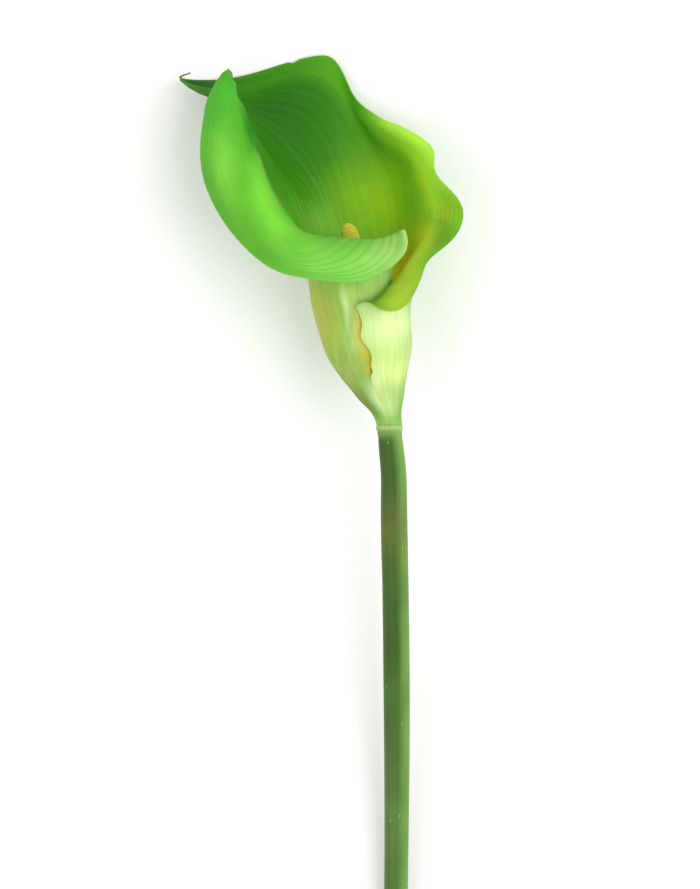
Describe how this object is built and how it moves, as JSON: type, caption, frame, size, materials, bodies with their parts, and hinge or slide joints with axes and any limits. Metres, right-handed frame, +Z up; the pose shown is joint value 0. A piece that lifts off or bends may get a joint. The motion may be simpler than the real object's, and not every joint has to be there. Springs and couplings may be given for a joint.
{
  "type": "calla lily flower",
  "caption": "Cut calla lily with a rolled green spathe around a yellow spadix, on a long fleshy stem, lying on its back.",
  "frame": {"origin": "centre of the whole flower's footprint, on the surface it lies on", "axes": "+Y along the flower from the cut end to the bloom, +Z up, and +X across to the side of the spathe's outer fold"},
  "size_m": [0.1118, 0.4475, 0.0747],
  "materials": {
    "spathe": "satin living leaf, bright green fading to cream at the foot",
    "spadix": "matt, finely grained yellow",
    "stem": "satin green skin with fine lengthwise lines"
  },
  "bodies": {
    "root": {"spathe": "spathe", "spadix": "spadix", "stem": "stem"}
  },
  "joints": []
}
